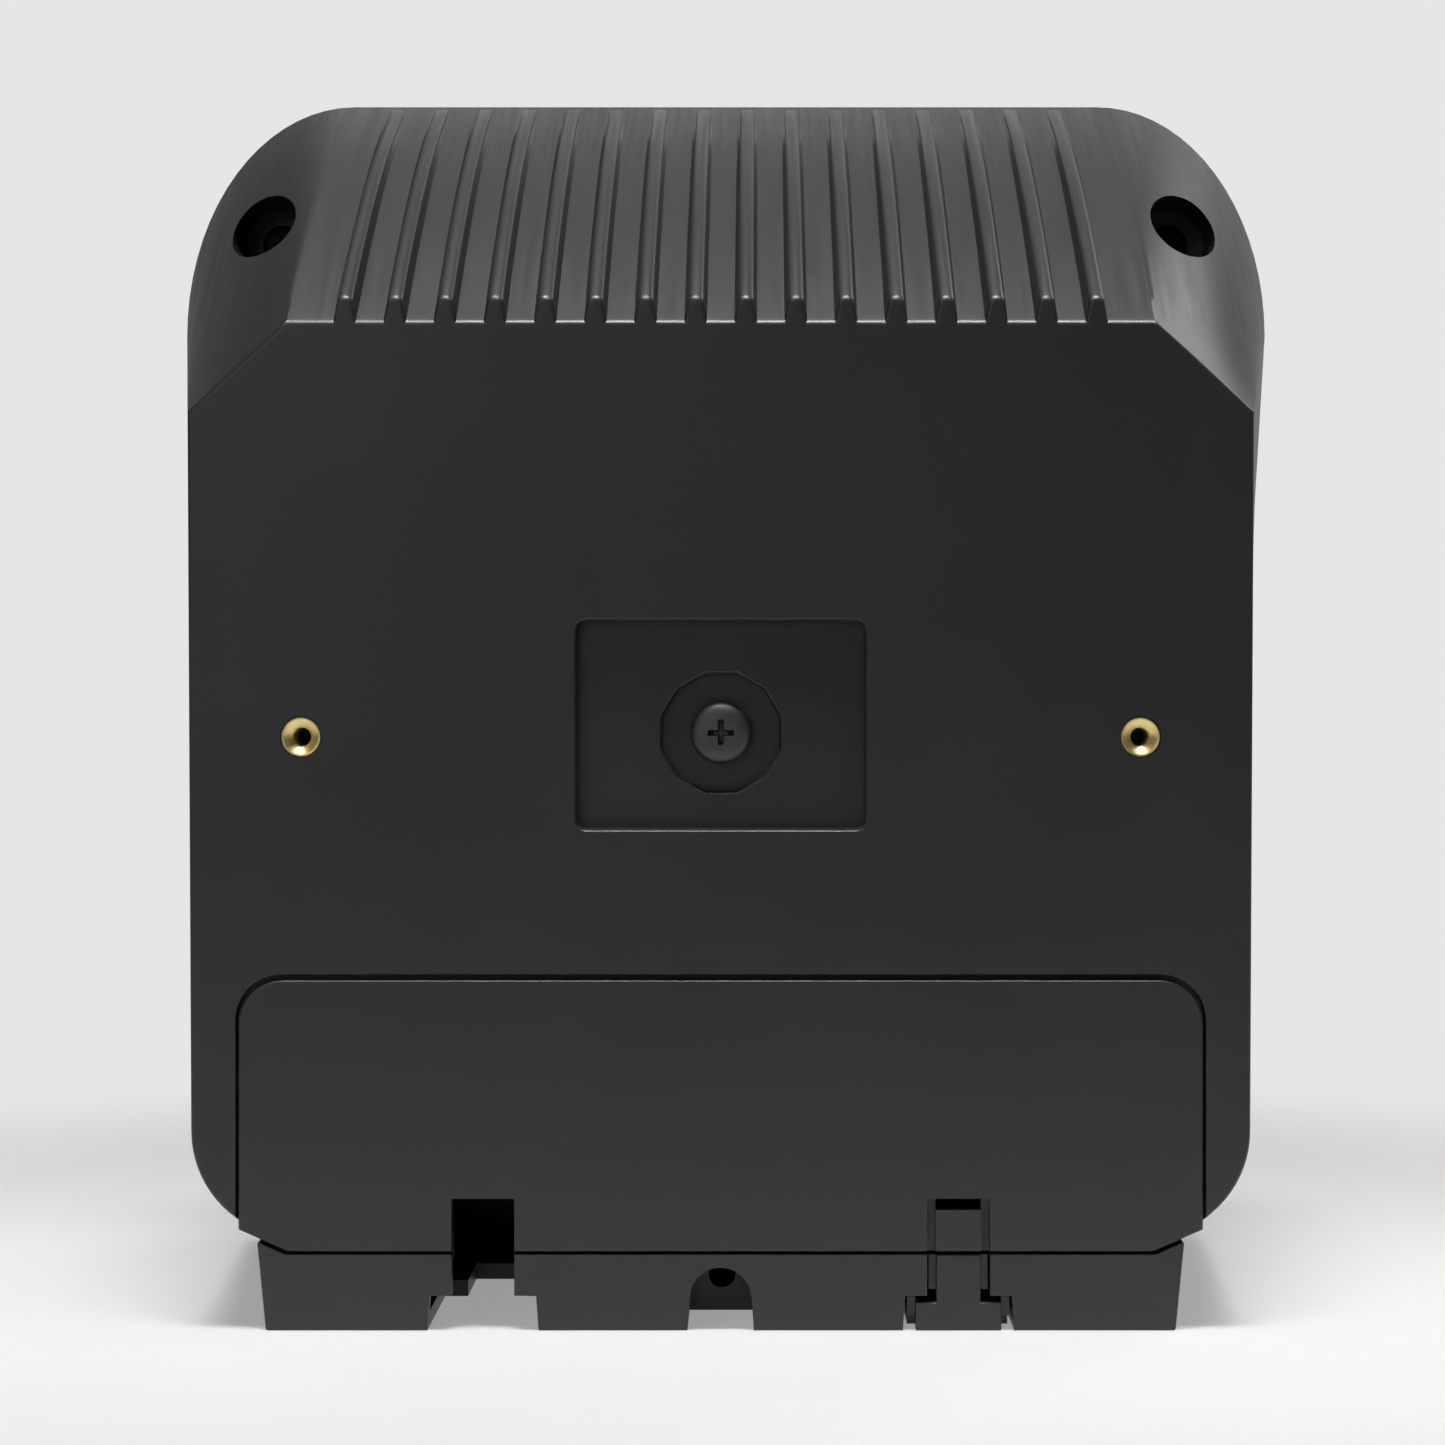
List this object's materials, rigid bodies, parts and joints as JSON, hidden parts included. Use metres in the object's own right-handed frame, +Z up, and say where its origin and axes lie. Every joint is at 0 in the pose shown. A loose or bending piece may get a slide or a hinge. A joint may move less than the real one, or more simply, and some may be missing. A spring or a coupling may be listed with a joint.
{
  "type": "charge controller",
  "caption": "Wall charge controller in a black moulded case with a finned sloping top, a wiring cover and cable outlets at the lower back, and a display with keys on the front.",
  "frame": {"origin": "centre of the footprint, on the level of the foot", "axes": "+Z up along the height, -Y out of the back that goes to the wall, +Y out of the display side, +X to the right seen from the back"},
  "size_m": [0.1866, 0.085, 0.1973],
  "materials": {
    "black_housing": "fine satin moulding texture",
    "black_cover": "satin",
    "brass": "turned",
    "blackened_steel": "black oxide",
    "zinc_steel": "zinc plated",
    "aluminium": "rolled plate",
    "seal_rubber": "matt",
    "board_green": "solder mask",
    "terminal_green": "moulded",
    "ferrite": "pressed ferrite",
    "capacitor_sleeve": "shrink sleeve",
    "epoxy_black": "moulded epoxy",
    "fuse_orange": "tinted plastic",
    "smoked_window": "clear smoked sheet",
    "screen": "display face",
    "key_grey": "soft matt",
    "clear_pipe": "clear moulding"
  },
  "bodies": {
    "housing": {"rear_shell": "black_housing", "front_cover": "black_housing", "mounting_insert_left": "brass", "mounting_insert_right": "brass", "terminal_contact_1": "brass", "terminal_contact_2": "brass", "terminal_contact_3": "brass", "terminal_contact_4": "brass", "terminal_contact_5": "brass", "terminal_contact_6": "brass", "centre_screw": "blackened_steel", "front_screw_1": "blackened_steel", "front_screw_2": "blackened_steel", "case_screw_left": "blackened_steel", "case_screw_right": "blackened_steel", "board_screw_1": "zinc_steel", "board_screw_2": "zinc_steel", "board_screw_3": "zinc_steel", "board_screw_4": "zinc_steel", "display_screw_1": "zinc_steel", "display_screw_2": "zinc_steel", "heat_spreader": "aluminium", "shell_gasket": "seal_rubber", "main_board": "board_green", "display_board": "board_green", "terminal_block": "terminal_green", "power_inductor": "ferrite", "capacitor_1": "capacitor_sleeve", "capacitor_2": "capacitor_sleeve", "capacitor_3": "capacitor_sleeve", "power_transistor_1": "epoxy_black", "power_transistor_2": "epoxy_black", "power_transistor_3": "epoxy_black", "power_transistor_4": "epoxy_black", "fuse_holder": "epoxy_black", "key_switch_1": "epoxy_black", "key_switch_2": "epoxy_black", "key_switch_3": "epoxy_black", "key_switch_4": "epoxy_black", "blade_fuse": "fuse_orange", "display_window": "smoked_window", "display_module": "screen", "light_pipe_1": "clear_pipe", "light_pipe_2": "clear_pipe", "light_pipe_3": "clear_pipe"},
    "wiring_cover": {"wiring_cover": "black_cover"},
    "outlet_plug": {"outlet_plug": "black_cover"},
    "key_up": {"key_up": "key_grey"},
    "key_down": {"key_down": "key_grey"},
    "key_enter": {"key_enter": "key_grey"},
    "key_escape": {"key_escape": "key_grey"},
    "terminal_screw_1": {"terminal_screw_1": "zinc_steel"},
    "terminal_screw_2": {"terminal_screw_2": "zinc_steel"},
    "terminal_screw_3": {"terminal_screw_3": "zinc_steel"},
    "terminal_screw_4": {"terminal_screw_4": "zinc_steel"},
    "terminal_screw_5": {"terminal_screw_5": "zinc_steel"},
    "terminal_screw_6": {"terminal_screw_6": "zinc_steel"}
  },
  "joints": [
    {"name": "wiring_cover_slide", "type": "slide", "parent": "housing", "child": "wiring_cover", "axis": [0, -1, 0], "range_m": [0, 0.02]},
    {"name": "outlet_plug_slide", "type": "slide", "parent": "housing", "child": "outlet_plug", "axis": [0, 0, -1], "range_m": [0, 0.016]},
    {"name": "key_up_press", "type": "slide", "parent": "housing", "child": "key_up", "axis": [0, -1, 0], "range_m": [0, 0.001], "stiffness_N_per_m": 300},
    {"name": "key_down_press", "type": "slide", "parent": "housing", "child": "key_down", "axis": [0, -1, 0], "range_m": [0, 0.001], "stiffness_N_per_m": 300},
    {"name": "key_enter_press", "type": "slide", "parent": "housing", "child": "key_enter", "axis": [0, -1, 0], "range_m": [0, 0.001], "stiffness_N_per_m": 300},
    {"name": "key_escape_press", "type": "slide", "parent": "housing", "child": "key_escape", "axis": [0, -1, 0], "range_m": [0, 0.001], "stiffness_N_per_m": 300},
    {"name": "terminal_screw_1_turn", "type": "hinge", "parent": "housing", "child": "terminal_screw_1", "pos_m": [-0.0325, -0.0335, 0.035], "axis": [0, 1, 0], "continuous": true},
    {"name": "terminal_screw_2_turn", "type": "hinge", "parent": "housing", "child": "terminal_screw_2", "pos_m": [-0.0195, -0.0335, 0.035], "axis": [0, 1, 0], "continuous": true},
    {"name": "terminal_screw_3_turn", "type": "hinge", "parent": "housing", "child": "terminal_screw_3", "pos_m": [-0.0065, -0.0335, 0.035], "axis": [0, 1, 0], "continuous": true},
    {"name": "terminal_screw_4_turn", "type": "hinge", "parent": "housing", "child": "terminal_screw_4", "pos_m": [0.0065, -0.0335, 0.035], "axis": [0, 1, 0], "continuous": true},
    {"name": "terminal_screw_5_turn", "type": "hinge", "parent": "housing", "child": "terminal_screw_5", "pos_m": [0.0195, -0.0335, 0.035], "axis": [0, 1, 0], "continuous": true},
    {"name": "terminal_screw_6_turn", "type": "hinge", "parent": "housing", "child": "terminal_screw_6", "pos_m": [0.0325, -0.0335, 0.035], "axis": [0, 1, 0], "continuous": true}
  ]
}
